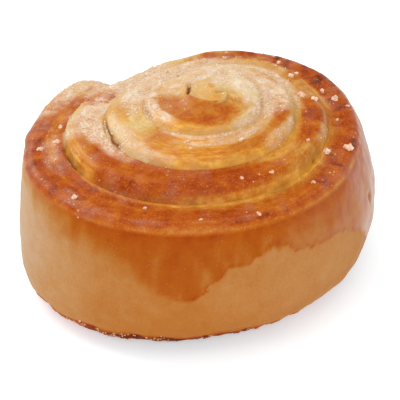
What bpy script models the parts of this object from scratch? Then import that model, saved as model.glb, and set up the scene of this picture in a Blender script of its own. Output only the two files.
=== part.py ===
"""Sugar bun.

A strip of sweet dough is rolled up from the middle, set on its edge and baked. Seen from above it
winds outward clockwise. The strip's upper edge shows as a spiral of rounded ridges that step down
from the middle like terraces, with a crease between each winding and the next. The outer face of
the last winding is the bun's upright side, and the strip ends at the back left in a low hump.
Lumps of coarse sugar stand on the ridges, fused to the crust.

The underside is flat and lies on z = 0. The bun's own frame has +Z up and -Y to the front, with
the origin in the middle of its outline. Angles along the roll are clockwise from the front, so
a quarter turn is the left side and half a turn is the back.
"""
import math

import bmesh
import bpy
import numpy as np

MM = 0.001
TURN = 2.0 * math.pi

# The roll in plan, in millimetres and turns
FIRST_TURN = -1.465
LAST_TURN = 3.42
STRIP_STEP = 10.3
STEP_POWER = 0.95
CORE_RADIUS = 2.0
OUTLINE_RADIUS = 50.0
OVAL_SHARE = 0.112
OVAL_TURN = 0.146
THREE_SIDED_SHARE = -0.032
THREE_SIDED_TURN = 0.052
LEAN_LEFT = 2.8

# The strip's end, which narrows and sinks behind a hump
END_LENGTH_TURNS = 0.08
END_NARROWING = 6.5
END_SINK = 9.0
HUMP_TURN = 3.342
HUMP_HALF_LENGTH_TURNS = 0.055
HUMP_OUT = 3.0
HUMP_UP = 2.6

# Heights of the domed top
MIDDLE_HEIGHT = 55.4
RIM_HEIGHT = 35.5
DOME_POWER = 1.7
BACK_RISE = 3.5
LEFT_RISE = 2.9

# A ridge's cross-section
CREASE_DEPTH = 2.0
CREASE_UNEVEN = 0.55
CREASE_FULL_AFTER_TURNS = 2.4
RIM_LIP_RISE = 1.0
CREST_PLACE = 0.52
INNER_ROUNDNESS = 2.4
OUTER_ROUNDNESS = 3.2

# The upright side
SIDE_BULGE = 3.7
SIDE_BULGE_RIGHT = 2.2
SIDE_BULGE_FRONT = 0.9
BASE_SHIFT_LEFT = 1.7
BASE_SHIFT_BACK = 2.1
BASE_ROUND_HEIGHT_SHARE = 0.28
BASE_ROUND_INSET = 6.0
BASE_ROUND_POWER = 2.4

# Fineness of the mesh
COLUMNS_PER_TURN = 64
ROWS_PER_RIDGE = 6
SIDE_LEVELS = 10
LEVEL_CROWDING = 1.6

# Coarse sugar: the largest lumps as (turn, share of the ridge's width, width in millimetres),
# then the number, width and spacing of the smaller ones and how far a lump's middle is sunk
LARGE_LUMPS = [
    (1.682, 0.37, 2.3), (1.701, 0.68, 1.9), (2.772, 0.73, 2.5), (2.789, 0.14, 2.0),
    (2.614, 0.32, 1.4), (2.659, 0.37, 1.5), (2.678, 0.53, 1.9), (1.633, 0.63, 1.5),
    (3.225, 0.19, 2.1), (3.216, 0.60, 1.8), (3.195, 0.27, 1.3), (3.253, 0.20, 1.5),
    (3.135, 0.68, 1.4), (2.945, 0.77, 1.2),
]
SMALL_LUMP_COUNT = 30
SMALL_LUMP_WIDTH = (0.9, 1.3)
LUMP_GAP = 3.2
LUMP_SUNK_SHARE = 0.04
LUMP_SEED = 11

CRUST_COLOUR = (0.52, 0.19, 0.04, 1.0)
CRUST_ROUGHNESS = 0.45


def smooth_step(value):
    """0 below 0, 1 above 1, and a smooth ramp between."""
    ramp = np.clip(value, 0.0, 1.0)
    return ramp * ramp * (3.0 - 2.0 * ramp)


def hump(turn):
    """How much of the hump near the strip's end stands at this turn, 0 to 1."""
    return np.exp(-((turn - HUMP_TURN) / HUMP_HALF_LENGTH_TURNS) ** 2)


def end_ramp(turn):
    """0 along the roll, rising to 1 at the strip's end."""
    return smooth_step((turn - (LAST_TURN - END_LENGTH_TURNS)) / END_LENGTH_TURNS)


def outer_radius(turn):
    """Distance from the middle to the strip's outer face before the outline is made oval."""
    wound = np.maximum(turn - FIRST_TURN, 0.0)
    return STRIP_STEP * wound ** STEP_POWER - END_NARROWING * end_ramp(turn) + HUMP_OUT * hump(turn)


def plan(radius, turn):
    """Place a point in plan: an oval and slightly three-sided outline that leans left outward."""
    angle = turn * TURN
    oval = OVAL_SHARE * np.cos(2.0 * (angle - OVAL_TURN * TURN))
    three_sided = THREE_SIDED_SHARE * np.cos(3.0 * (angle - THREE_SIDED_TURN * TURN))
    reach = radius * (1.0 + oval + three_sided)
    x = -reach * np.sin(angle) - LEAN_LEFT * radius / OUTLINE_RADIUS
    y = -reach * np.cos(angle)
    return x, y


def dome(radius, turn):
    """Height of the domed top, a little higher at the back and at the left."""
    x, y = plan(radius, turn)
    fall = (MIDDLE_HEIGHT - RIM_HEIGHT) * (radius / OUTLINE_RADIUS) ** DOME_POWER
    return MIDDLE_HEIGHT - fall + (BACK_RISE * y - LEFT_RISE * x) / OUTLINE_RADIUS


def end_height(turn):
    """Height added near the strip's end: the hump, then the sunken tip."""
    return HUMP_UP * hump(turn) - END_SINK * end_ramp(turn)


def edge_height(turn):
    """Height of a winding's outer edge: sunk in a crease, or raised as the rim on the last one."""
    crease = CREASE_DEPTH + CREASE_UNEVEN * np.cos(TURN * (1.07 * turn - 0.3))
    crease = crease * smooth_step((turn - FIRST_TURN) / CREASE_FULL_AFTER_TURNS)
    is_rim = smooth_step((turn - (LAST_TURN - 1.0) + 0.024) / 0.048)
    return dome(outer_radius(turn), turn) - crease * (1.0 - is_rim) + RIM_LIP_RISE * is_rim + end_height(turn)


def top_surface(turn, share):
    """A point on the top. share runs across a ridge from its inner crease (0) to its edge (1).

    The height joins the two edges over a crest: height = edge + (crest - edge) * (1 - a^p)^0.625,
    where a is the distance from the crest as a share of its own side.
    """
    inner = outer_radius(turn - 1.0)
    outer = outer_radius(turn)
    x, y = plan(inner + (outer - inner) * share, turn)
    crest = dome(inner + (outer - inner) * 0.5, turn) + end_height(turn)
    inside = share < CREST_PLACE
    away = np.where(inside, (CREST_PLACE - share) / CREST_PLACE, (share - CREST_PLACE) / (1.0 - CREST_PLACE))
    power = np.where(inside, INNER_ROUNDNESS, OUTER_ROUNDNESS)
    rise = np.clip(1.0 - away ** power, 0.0, 1.0) ** 0.625
    edge = np.where(inside, edge_height(turn - 1.0), edge_height(turn))
    return np.stack([x, y, edge + (crest - edge) * rise], -1)


def side_rings(rim):
    """The upright side as rings of points under the rim, which bulges and then rounds in to the base."""
    reach = np.hypot(rim[:, 0], rim[:, 1])
    out_x, out_y = rim[:, 0] / reach, rim[:, 1] / reach
    rings = []
    for level in range(1, SIDE_LEVELS + 1):
        down = 1.0 - (1.0 - level / SIDE_LEVELS) ** LEVEL_CROWDING
        belly = SIDE_BULGE + SIDE_BULGE_RIGHT * out_x - SIDE_BULGE_FRONT * out_y
        shift = BASE_SHIFT_BACK * out_y - BASE_SHIFT_LEFT * out_x
        rounding = max(down - (1.0 - BASE_ROUND_HEIGHT_SHARE), 0.0) / BASE_ROUND_HEIGHT_SHARE
        radius = reach + belly * max(math.sin(math.pi * down), 0.0) ** 0.8 + shift * down
        radius = radius - BASE_ROUND_INSET * rounding ** BASE_ROUND_POWER
        rings.append(np.stack([radius * out_x, radius * out_y, rim[:, 2] * (1.0 - down)], -1))
    return rings


def build_bun_mesh():
    """Weave the spiral top, the side and the flat base into one closed mesh.

    The last column is one corner, where the strip's end lies against the winding before it.
    """
    first = int(math.ceil((CORE_RADIUS / STRIP_STEP) ** (1.0 / STEP_POWER) * COLUMNS_PER_TURN))
    last = int(round((LAST_TURN - FIRST_TURN) * COLUMNS_PER_TURN))
    turns = FIRST_TURN + np.arange(first, last + 1) / COLUMNS_PER_TURN
    shares = np.arange(1, ROWS_PER_RIDGE + 1) / ROWS_PER_RIDGE
    points = top_surface(turns[:, None], shares[None, :])

    mesh = bmesh.new()
    middle = mesh.verts.new((0.0, 0.0, MIDDLE_HEIGHT))
    columns = [[mesh.verts.new(point) for point in column] for column in points[:-1]]
    strip_corner = mesh.verts.new(points[-1][-1])
    columns.append([strip_corner] * ROWS_PER_RIDGE)

    def vertex(column, row):
        """Row 0 is the inner crease, which is the edge of the winding before, or the middle."""
        if row > 0:
            return columns[column][row - 1]
        if column >= COLUMNS_PER_TURN:
            return columns[column - COLUMNS_PER_TURN][-1]
        return middle

    for column in range(len(columns) - 1):
        for row in range(ROWS_PER_RIDGE):
            corners = [vertex(column, row), vertex(column, row + 1),
                       vertex(column + 1, row + 1), vertex(column + 1, row)]
            if column == COLUMNS_PER_TURN - 1 and row == 0:
                corners += columns[0][-2::-1]
            mesh.faces.new(list(dict.fromkeys(corners)))

    rim = [columns[column][-1] for column in range(len(columns) - 1 - COLUMNS_PER_TURN, len(columns))]
    above = rim
    for ring in side_rings(np.array([vert.co[:] for vert in rim])):
        below = [mesh.verts.new(point) for point in ring]
        for index in range(len(rim)):
            after = (index + 1) % len(rim)
            mesh.faces.new([above[index], above[after], below[after], below[index]])
        above = below
    mesh.faces.new(above)

    bmesh.ops.triangulate(mesh, faces=mesh.faces)
    bmesh.ops.recalc_face_normals(mesh, faces=mesh.faces)
    return mesh


def lump_places(rng):
    """The large lumps' places and widths, then small ones spread over the ridges.

    Most of the small ones lie at the back and on the outer windings.
    """
    places = [(top_surface(np.array(turn), np.array(share)), width) for turn, share, width in LARGE_LUMPS]
    while len(places) < len(LARGE_LUMPS) + SMALL_LUMP_COUNT:
        turn = rng.uniform(FIRST_TURN + 2.0, LAST_TURN - 0.12)
        share = rng.uniform(0.15, 0.85)
        back_share = 0.5 - 0.5 * math.cos(TURN * turn)
        wanted = (0.1 + 0.9 * back_share) * outer_radius(turn) / OUTLINE_RADIUS
        point = top_surface(np.array(turn), np.array(share))
        clear = all(np.linalg.norm(point - other) > LUMP_GAP for other, _ in places)
        if rng.random() < wanted and clear:
            places.append((point, rng.uniform(*SMALL_LUMP_WIDTH)))
    return places


def add_lump(collection, place, width, rng):
    """One lump of coarse sugar, an uneven many-sided grain."""
    mesh = bmesh.new()
    bmesh.ops.create_icosphere(mesh, subdivisions=1, radius=0.5 * MM)
    for vert in mesh.verts:
        vert.co *= rng.uniform(0.85, 1.15)
    data = bpy.data.meshes.new("sugar_lump")
    mesh.to_mesh(data)
    mesh.free()
    lump = bpy.data.objects.new("sugar_lump", data)
    lump.scale = (width, width * rng.uniform(0.75, 1.0), width * rng.uniform(0.7, 0.95))
    lump.rotation_euler = rng.uniform(0.0, TURN, 3)
    lump.location = (place - np.array([0.0, 0.0, LUMP_SUNK_SHARE * width])) * MM
    collection.objects.link(lump)


def fuse_lumps(bun, rng, centre):
    """Join the lumps to the crust with one Boolean union, then clear them away."""
    lumps = bpy.data.collections.new("sugar_lumps")
    bpy.context.scene.collection.children.link(lumps)
    for place, width in lump_places(rng):
        add_lump(lumps, place - centre, width, rng)

    union = bun.modifiers.new("Fuse the sugar", "BOOLEAN")
    union.operation = "UNION"
    union.operand_type = "COLLECTION"
    union.collection = lumps
    union.solver = "EXACT"
    fused = bpy.data.meshes.new_from_object(bun.evaluated_get(bpy.context.evaluated_depsgraph_get()))
    bun.modifiers.clear()
    bun.data = fused
    for lump in list(lumps.objects):
        bpy.data.objects.remove(lump)
    bpy.data.collections.remove(lumps)


def crust_material():
    material = bpy.data.materials.new("baked crust")
    material.use_nodes = True
    shader = material.node_tree.nodes["Principled BSDF"]
    shader.inputs["Base Color"].default_value = CRUST_COLOUR
    shader.inputs["Roughness"].default_value = CRUST_ROUGHNESS
    return material


def build_bun():
    mesh = build_bun_mesh()
    corners = np.array([vert.co[:] for vert in mesh.verts])
    centre = np.array([*(corners.min(0)[:2] + corners.max(0)[:2]) / 2.0, 0.0])
    for vert in mesh.verts:
        vert.co = (np.array(vert.co[:]) - centre) * MM
    data = bpy.data.meshes.new("bun")
    mesh.to_mesh(data)
    mesh.free()
    bun = bpy.data.objects.new("bun", data)
    bpy.context.scene.collection.objects.link(bun)
    fuse_lumps(bun, np.random.default_rng(LUMP_SEED), centre)
    bun.data.name = "bun"
    bun.data.materials.clear()
    bun.data.materials.append(crust_material())
    bun.data.shade_smooth()
    bun.data.set_sharp_from_angle(angle=math.radians(50.0))


def main():
    for item in list(bpy.data.objects):
        bpy.data.objects.remove(item)
    build_bun()


main()
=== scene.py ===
"""The finished look of a sugar bun.

A strip of sweet dough is rolled up from the middle, brushed with egg, sprinkled with sugar and
baked. The bun is one closed surface: the spiral top, the upright side and the flat underside.
Grains of sugar and coarser lumps lie on it as pieces of their own. Lengths here are millimetres
and turns along the roll until a mesh is made, which is in metres.
"""
import itertools
import math

import bpy
import numpy as np
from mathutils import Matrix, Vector

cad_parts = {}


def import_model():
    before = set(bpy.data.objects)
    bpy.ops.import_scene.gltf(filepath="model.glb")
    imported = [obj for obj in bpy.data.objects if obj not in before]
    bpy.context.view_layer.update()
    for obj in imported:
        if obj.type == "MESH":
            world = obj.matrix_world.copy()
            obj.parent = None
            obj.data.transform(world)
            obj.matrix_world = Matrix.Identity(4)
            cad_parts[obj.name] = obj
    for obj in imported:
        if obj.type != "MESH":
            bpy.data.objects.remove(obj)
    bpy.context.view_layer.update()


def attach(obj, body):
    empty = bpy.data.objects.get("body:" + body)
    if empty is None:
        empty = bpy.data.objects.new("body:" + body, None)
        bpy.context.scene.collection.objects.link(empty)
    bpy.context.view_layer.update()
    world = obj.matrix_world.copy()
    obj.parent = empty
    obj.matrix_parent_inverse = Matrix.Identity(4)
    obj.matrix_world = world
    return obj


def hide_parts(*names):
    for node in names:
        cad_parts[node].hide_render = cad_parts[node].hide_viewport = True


MM = 0.001
TURN = 2.0 * math.pi

# The roll in plan, as in the solid that the bun's surface stands for
FIRST_TURN = -1.465
LAST_TURN = 3.42
STRIP_STEP = 10.3
STEP_POWER = 0.95
CORE_RADIUS = 2.0
OUTLINE_RADIUS = 50.0
OVAL_SHARE = 0.112
OVAL_TURN = 0.146
THREE_SIDED_SHARE = -0.032
THREE_SIDED_TURN = 0.052
LEAN_LEFT = 2.8

# The strip's end, which narrows and sinks behind a hump
END_LENGTH_TURNS = 0.08
END_NARROWING = 6.5
END_SINK = 9.0
HUMP_TURN = 3.342
HUMP_HALF_LENGTH_TURNS = 0.055
HUMP_OUT = 3.0
HUMP_UP = 2.6

# Heights of the domed top
MIDDLE_HEIGHT = 55.4
RIM_HEIGHT = 35.5
DOME_POWER = 1.7
BACK_RISE = 3.5
LEFT_RISE = 2.9

# A ridge's cross-section
CREASE_DEPTH = 2.0
CREASE_UNEVEN = 0.55
CREASE_WAVES_PER_TURN = 1.07
CREASE_WAVE_OFFSET = 0.3
CREASE_FULL_AFTER_TURNS = 2.4
RIM_LIP_RISE = 1.0
RIM_START_TURNS = 0.048
CREST_PLACE = 0.52
INNER_ROUNDNESS = 2.4
OUTER_ROUNDNESS = 3.2
CREST_FULLNESS = 0.625

# The upright side
SIDE_BULGE = 3.7
SIDE_BULGE_RIGHT = 2.2
SIDE_BULGE_FRONT = 0.9
SIDE_BULGE_FULLNESS = 0.8
BASE_SHIFT_LEFT = 1.7
BASE_SHIFT_BACK = 2.1
BASE_ROUND_HEIGHT_SHARE = 0.28
BASE_ROUND_INSET = 6.0
BASE_ROUND_POWER = 2.4

# Coarse sugar, placed as in the solid
LARGE_LUMPS = [
    (1.682, 0.37, 2.3), (1.701, 0.68, 1.9), (2.772, 0.73, 2.5), (2.789, 0.14, 2.0), (2.614, 0.32, 1.4),
    (2.659, 0.37, 1.5), (2.678, 0.53, 1.9), (1.633, 0.63, 1.5), (3.225, 0.19, 2.1), (3.216, 0.6, 1.8),
    (3.195, 0.27, 1.3), (3.253, 0.2, 1.5), (3.135, 0.68, 1.4), (2.945, 0.77, 1.2),
]
SMALL_LUMP_COUNT = 30
SMALL_LUMP_WIDTH = (0.9, 1.3)
LUMP_GAP = 3.2
LUMP_SEED = 11
CRYSTALS_PER_LUMP = 9
CRYSTAL_SHARE_OF_LUMP = (0.30, 0.54)
CRYSTAL_SPREAD = (0.19, 0.19, 0.12)
CRYSTAL_SPREAD_LIMIT = 0.3

# Fineness of the surface
COLUMNS_PER_TURN = 480
ROWS_PER_RIDGE = 26
SIDE_LEVELS = 64
LEVEL_CROWDING = 1.6
UNDERSIDE_RINGS = 9

# Patches of the top as (turn, share of the ridge's width, half length in turns, half width as a
# share, amount). First the browning, which is added to a slow change over the whole top
BROWNING_PATCHES = [
    (0.05, 0.3, 0.175, 0.5, 0.29), (-0.03, 0.5, 0.09, 0.34, 0.08), (0.22, 0.62, 0.05, 0.14, 0.16),
    (0.09, 0.55, 0.07, 0.22, 0.08), (-0.01, 0.72, 0.07, 0.14, 0.14), (0.22, 0.3, 0.05, 0.2, 0.12),
    (-0.19, 0.5, 0.05, 0.35, 0.14), (-0.89, 0.92, 0.13, 0.14, 0.4), (-0.55, 0.55, 0.035, 0.16, 0.22),
    (-0.8, 0.14, 0.24, 0.07, 0.12), (0.63, 0.8, 0.05, 0.2, 0.14), (0.95, 0.72, 0.15, 0.2, 0.26),
    (1.12, 0.45, 0.045, 0.55, 0.14), (0.77, 0.6, 0.035, 0.22, 0.3), (1.215, 0.55, 0.03, 0.18, 0.24),
    (1.18, 0.5, 0.045, 0.5, -0.16), (1.52, 0.4, 0.05, 0.4, 0.1), (1.52, 0.86, 0.06, 0.25, 0.24),
    (1.55, 0.92, 0.1, 0.24, 0.3), (1.66, 0.62, 0.075, 0.4, 0.15), (1.755, 0.5, 0.055, 0.3, 0.44),
    (1.72, 0.86, 0.05, 0.14, 0.2), (1.95, 0.55, 0.09, 0.34, 0.32), (2.295, 0.14, 0.012, 0.16, 0.3),
    (2.06, 0.42, 0.12, 0.6, 0.4), (2.0, 0.86, 0.2, 0.1, 0.14), (2.04, 0.78, 0.018, 0.09, 0.22),
    (2.09, 0.94, 0.09, 0.1, 0.4), (1.99, 0.97, 0.08, 0.05, 0.2), (2.19, 0.56, 0.06, 0.28, 0.18),
    (2.298, 0.56, 0.02, 0.36, 0.52), (2.53, 0.45, 0.06, 0.4, 0.14), (2.58, 0.55, 0.09, 0.4, 0.4),
    (2.64, 0.62, 0.05, 0.4, 0.38), (2.62, 0.82, 0.07, 0.18, 0.34), (2.7, 0.66, 0.04, 0.2, 0.34),
    (2.75, 0.56, 0.1, 0.38, 0.4), (2.76, 0.93, 0.1, 0.09, 0.2), (2.735, 0.06, 0.06, 0.1, 0.32),
    (2.86, 0.86, 0.12, 0.14, 0.14), (2.95, 0.58, 0.16, 0.34, 0.2), (2.97, 0.62, 0.02, 0.3, 0.18),
    (3.0, 0.93, 0.26, 0.09, 0.22), (3.12, 0.45, 0.12, 0.55, 0.28), (3.15, 0.14, 0.08, 0.18, 0.22),
    (3.17, 0.88, 0.06, 0.16, 0.22), (3.2, 0.7, 0.07, 0.4, 0.24), (3.225, 0.8, 0.012, 0.14, 0.3),
    (3.14, 0.56, 0.012, 0.12, 0.3), (3.2, 0.1, 0.06, 0.1, 0.2), (3.265, 0.55, 0.045, 0.5, 0.42),
    (3.296, 0.15, 0.012, 0.22, 0.42), (3.31, 0.25, 0.03, 0.2, 0.24), (-0.35, 0.75, 0.15, 0.3, -0.12),
    (1.14, 0.88, 0.06, 0.18, -0.22),
]

# Yellow dough, bared where the ridges pulled apart
YELLOW_PATCHES = [
    (-1.0, 0.45, 0.14, 0.26, 0.45), (-0.72, 0.3, 0.16, 0.3, 0.35), (-0.62, 0.55, 0.09, 0.34, 0.35),
    (0.13, 0.82, 0.07, 0.17, 0.8), (0.32, 0.06, 0.1, 0.08, 0.5), (0.38, 0.62, 0.12, 0.36, 0.3),
    (0.66, 0.72, 0.08, 0.26, 0.3), (0.84, 0.9, 0.08, 0.12, 0.25), (0.96, 0.15, 0.13, 0.14, 0.5),
    (1.04, 0.55, 0.07, 0.5, 0.6), (0.97, 0.94, 0.14, 0.08, 0.6), (1.17, 0.72, 0.06, 0.3, 0.5),
    (2.56, 0.2, 0.07, 0.22, 0.4), (1.66, 0.88, 0.08, 0.1, 0.3), (1.84, 0.16, 0.07, 0.18, 0.7),
    (1.9, 0.985, 0.13, 0.035, 0.6), (2.02, 0.985, 0.06, 0.03, 0.25), (2.17, 0.975, 0.035, 0.06, 0.5),
    (2.18, 0.85, 0.04, 0.12, 0.5), (0.06, 0.93, 0.09, 0.06, 0.5), (2.62, 0.08, 0.06, 0.12, 0.6),
    (2.78, 0.06, 0.14, 0.1, 0.28), (2.9, 0.06, 0.14, 0.08, 0.7), (3.05, 0.03, 0.12, 0.05, 0.6),
    (3.24, 0.3, 0.05, 0.14, 0.4),
]

# Sugar frosting, thickest on the back and the left of the top, where its paleness is partly painted
# highlight
FROST_PATCHES = [
    (-0.35, 0.7, 0.17, 0.28, 0.7), (0.19, 0.82, 0.07, 0.18, 1.2), (0.6, 0.4, 0.16, 0.6, 0.55),
    (0.84, 0.2, 0.09, 0.22, 0.5), (0.97, 0.28, 0.1, 0.14, 0.45), (1.4, 0.5, 0.12, 0.6, 0.9),
    (0.72, 0.5, 0.06, 0.4, 0.3), (0.0, 0.97, 0.12, 0.06, 0.1), (0.8, 0.95, 0.03, 0.08, 0.3),
    (-0.15, 0.92, 0.08, 0.12, 0.85), (0.835, 0.92, 0.05, 0.13, 0.27), (3.325, 0.2, 0.03, 0.22, 0.45),
    (1.09, 0.93, 0.03, 0.1, 0.25), (1.02, 0.03, 0.1, 0.08, 0.8), (1.17, 0.8, 0.05, 0.26, 0.5),
    (1.62, 0.16, 0.08, 0.18, 0.8), (2.36, 0.5, 0.07, 0.7, 0.9), (2.17, 0.14, 0.05, 0.18, 0.7),
    (2.225, 0.22, 0.045, 0.26, 0.7), (2.27, 0.35, 0.03, 0.45, 0.6), (2.238, 0.66, 0.03, 0.36, 0.5),
    (3.34, 0.72, 0.06, 0.35, 0.8), (0.38, 0.45, 0.12, 0.5, 0.4), (1.76, 0.88, 0.03, 0.1, 0.3),
    (1.27, 0.3, 0.05, 0.3, 0.5), (3.2, 0.34, 0.03, 0.22, 0.45), (3.25, 0.62, 0.02, 0.16, 0.3),
    (3.135, 0.72, 0.02, 0.18, 0.28), (3.23, 0.88, 0.05, 0.12, 0.36), (3.04, 0.82, 0.12, 0.1, 0.16),
]

# Cracks between the ridges: points as (turn, share), half width and depth in millimetres
CRACKS = [
    ([(1.152, 0.99), (1.165, 0.96), (1.174, 0.955), (1.187, 0.935), (1.2, 0.94), (1.222, 0.93)],
     0.3, 2.0),
    ([(0.374, 0.2), (0.335, 0.06), (-0.72, 0.94), (-0.776, 0.97)], 0.75, 1.6),
    ([(2.158, 0.99), (2.176, 0.995), (2.195, 0.99), (2.215, 0.985)], 0.38, 1.3),
    ([(0.03, 0.975), (0.045, 0.985), (0.06, 0.98), (0.078, 0.97), (0.095, 0.975)], 0.2, 0.6),
    ([(0.622, 0.99), (0.64, 0.98), (0.652, 0.995), (0.662, 0.98), (0.672, 1.0)], 0.35, 0.9),
    ([(0.17, 0.97), (0.2, 0.96), (0.24, 0.965)], 0.4, 0.8),
    ([(3.29, 0.02), (3.3, 0.1), (3.303, 0.2)], 0.4, 0.6),
    ([(2.88, 0.04), (2.9, 0.07), (2.925, 0.05)], 0.35, 0.6),
    ([(3.262, 0.05), (3.25, 0.03), (3.24, 0.06)], 0.45, 0.9),
    ([(1.79, 0.96), (1.82, 0.98), (1.86, 0.99)], 0.35, 0.5),
    ([(1.52, 0.98), (1.56, 0.99), (1.6, 0.97), (1.63, 0.985)], 0.35, 0.7),
]

# Lower edge of the egg wash on the side, as (turn, share of the way down)
WASH_EDGE = [
    (2.42, 0.26), (2.5, 0.3), (2.58, 0.24), (2.66, 0.36), (2.72, 0.55), (2.775, 0.66), (2.8, 0.48),
    (2.82, 0.37), (2.84, 0.3), (2.87, 0.275), (2.9, 0.26), (2.92, 0.2), (2.935, 0.175), (2.95, 0.2),
    (2.965, 0.24), (2.98, 0.27), (2.992, 0.35), (3.003, 0.45), (3.018, 0.5), (3.034, 0.49),
    (3.048, 0.43), (3.062, 0.33), (3.085, 0.2), (3.14, 0.15), (3.2, 0.12), (3.3, 0.12), (3.36, 0.2),
    (3.42, 0.26),
]

# How the side changes round the bun, as (turn, value): how softly the wash fades out at its lower
# edge, how much of it there is, how brown the bare side is, and how glossy the wash
WASH_SOFTNESS = [
    (2.42, 0.05), (2.9, 0.02), (3.02, 0.02), (3.05, 0.12), (3.08, 0.2), (3.3, 0.2), (3.42, 0.05),
]
WASH_AMOUNT = [
    (2.42, 0.9), (3.07, 1.0), (3.15, 0.95), (3.19, 0.65), (3.24, 0.5), (3.42, 0.9),
]
SIDE_BROWNING = [
    (2.42, 0.36), (2.7, 0.36), (2.8, 0.3), (2.85, 0.26), (2.92, 0.3), (2.98, 0.35), (3.03, 0.4),
    (3.09, 0.35), (3.14, 0.18), (3.2, 0.0), (3.3, 0.14), (3.42, 0.3),
]
SIDE_GLOSS = [
    (2.42, 0.5), (2.8, 0.75), (2.88, 0.45), (2.94, 0.06), (3.12, 0.04), (3.22, 0.3), (3.42, 0.5),
]

# Dimples of the side as (turn, share of the way down, half width and depth in millimetres)
DIMPLES = [(2.78, 0.3, 1.1, 1.0), (2.745, 0.52, 2.0, 0.5), (2.86, 0.29, 1.2, 0.3), (3.26, 0.35, 2.2, 0.4)]
DIMPLED_SIDE_HEIGHT = 37.5

# The dark crust at the foot of the side
FOOT_CRUST_DOWN = 0.85
FOOT_CRUST_UNEVEN = 0.035

# Browning, from 0 for pale dough to 1 for the darkest crust
TOP_BAKE = 0.14
FRONT_RIM_BAKE = 0.36
HIGHEST_PATCH_BAKE = 0.88
# Browning taken off along the rim's top edge, a painted highlight
LIP_HIGHLIGHT = 0.10
LOW_SIDE_BAKE = 0.06
WASH_BAKE = 0.18
UNDER_RIM_BAKE = 0.40
WASH_EDGE_BAKE = 0.24
FOOT_BAKE = 0.72
UNDERSIDE_BAKE = 0.72

# Width of the pale line of painted highlight along the rim's top edge, and of the dark lines of painted
# shade in the creases, in millimetres
LIP_HIGHLIGHT_WIDTH = 0.45
CREASE_SHADE_LINE_WIDTH = 0.32

# Turns whose direction is the front, the back left and the left
FRONT_TURN = 0.93
BACK_LEFT_TURN = 0.42
LEFT_TURN = 0.30

# Fine relief, in millimetres
LARGE_SWELL_HEIGHT = 0.34
SMALL_SWELL_HEIGHT = 0.18
WRINKLE_HEIGHT = 0.17
TORN_HEIGHT = 0.13
LEATHER_HEIGHT = 0.11
FROSTING_HEIGHT = 0.10
CRUMB_HEIGHT = 0.34
SIDE_WAVE_HEIGHT = 0.10
RIM_BEAD_HEIGHT = 0.15
CREASE_FILLING_HEIGHT = 1.1
CREASE_FILLING_REACH = 1.4

# Scattered sugar
GRAIN_COUNT = 6000
GRAIN_WIDTH = (0.16, 0.38)
GRAIN_SEED = 5
LOWEST_GRAIN_POINT = 0.02

# A crystal: how far a cube's corners are jogged, and how it is stretched, as shares of its width
CORNER_JOG = 0.12
CRYSTAL_STRETCH = (0.7, 1.15)

# Colours as a screen shows them, 0 to 255. The crust's go with its browning, as a share of that
# at the ramp's end. Where two are given, they are the ends of a range
CRUST_TONES = [
    (0.0, (212, 186, 132)), (0.15, (200, 152, 86)), (0.31, (186, 119, 48)), (0.46, (178, 94, 20)),
    (0.62, (167, 75, 10)), (0.77, (144, 56, 8)), (0.92, (78, 34, 12)),
]
BROWNING_AT_RAMP_END = 1.3
SPECKLE_TONE = (226, 160, 108)
GOLDEN_TONES = (200, 114, 14), (238, 182, 80)
FROSTING_TONES = (224, 184, 150), (240, 228, 208)
# The two colours of painted shade in the cracks and creases
CREVICE_SHADE_TONES = (150, 86, 14), (92, 52, 12)
# The grains' darker end is partly painted light: the crust's colour showing through the clear sugar
GRAIN_TONES_LIT_BY_CRUST = (222, 158, 104), (238, 218, 194)
LUMP_TONES = (232, 176, 140), (248, 218, 194)

# What the bare side's colour is multiplied by: painted shade that darkens the side below the wash
BARE_SIDE_SHADE = (0.77, 0.70, 0.97, 1.0)

# The light: the surround's strength, and soft lights as (name, place, width, power in watts, tone)
SURROUND_STRENGTH = 0.61
SOFT_LIGHTS = [
    ("back left light", (-0.45, 0.30, 0.70), 0.6, 3.4, (1.0, 0.99, 0.97)),
    ("overhead light", (0.0, -0.10, 0.90), 0.8, 1.5, (1.0, 1.0, 1.0)),
    ("front light", (0.10, -0.75, 0.45), 0.6, 2.8, (1.0, 0.99, 0.97)),
]
LIGHT_TARGET = (0.0, 0.0, 0.03)

# The masks that the crust's colours are made from
SHADED_MASKS = ("bake", "yellow", "frost_and_sheen", "shine", "crease_shade", "bare", "along", "across", "top")

# The view and the ground
CAMERA_RISE_DEGREES = 33.3
CAMERA_DISTANCE = 0.5
CAMERA_TARGET = (0.00032, 0.00057, 0.02147)
CAMERA_LENS = 164.25
SENSOR_WIDTH = 36.0
FLOOR_HALF_WIDTH = 2.5


def smooth_step(value):
    """0 below 0, 1 above 1, and a smooth ramp between."""
    ramp = np.clip(value, 0.0, 1.0)
    return ramp * ramp * (3.0 - 2.0 * ramp)


def hump(turn):
    """How much of the hump near the strip's end stands at this turn, 0 to 1."""
    return np.exp(-((turn - HUMP_TURN) / HUMP_HALF_LENGTH_TURNS) ** 2)


def end_ramp(turn):
    """0 along the roll, rising to 1 at the strip's end."""
    return smooth_step((turn - (LAST_TURN - END_LENGTH_TURNS)) / END_LENGTH_TURNS)


def outer_radius(turn):
    """Distance from the middle to the strip's outer face before the outline is made oval."""
    wound = np.maximum(turn - FIRST_TURN, 0.0)
    return STRIP_STEP * wound ** STEP_POWER - END_NARROWING * end_ramp(turn) + HUMP_OUT * hump(turn)


def strip_length(turn):
    """Length of the strip from its start: the sum of its radius over the angle it has turned."""
    wound = np.maximum(turn - FIRST_TURN, 0.0)
    return TURN * STRIP_STEP * wound ** (1.0 + STEP_POWER) / (1.0 + STEP_POWER)


def ridge_width(turn):
    """Width of the strip's ridge at this turn, from its inner crease to its outer edge."""
    return outer_radius(turn) - outer_radius(turn - 1.0)


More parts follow.
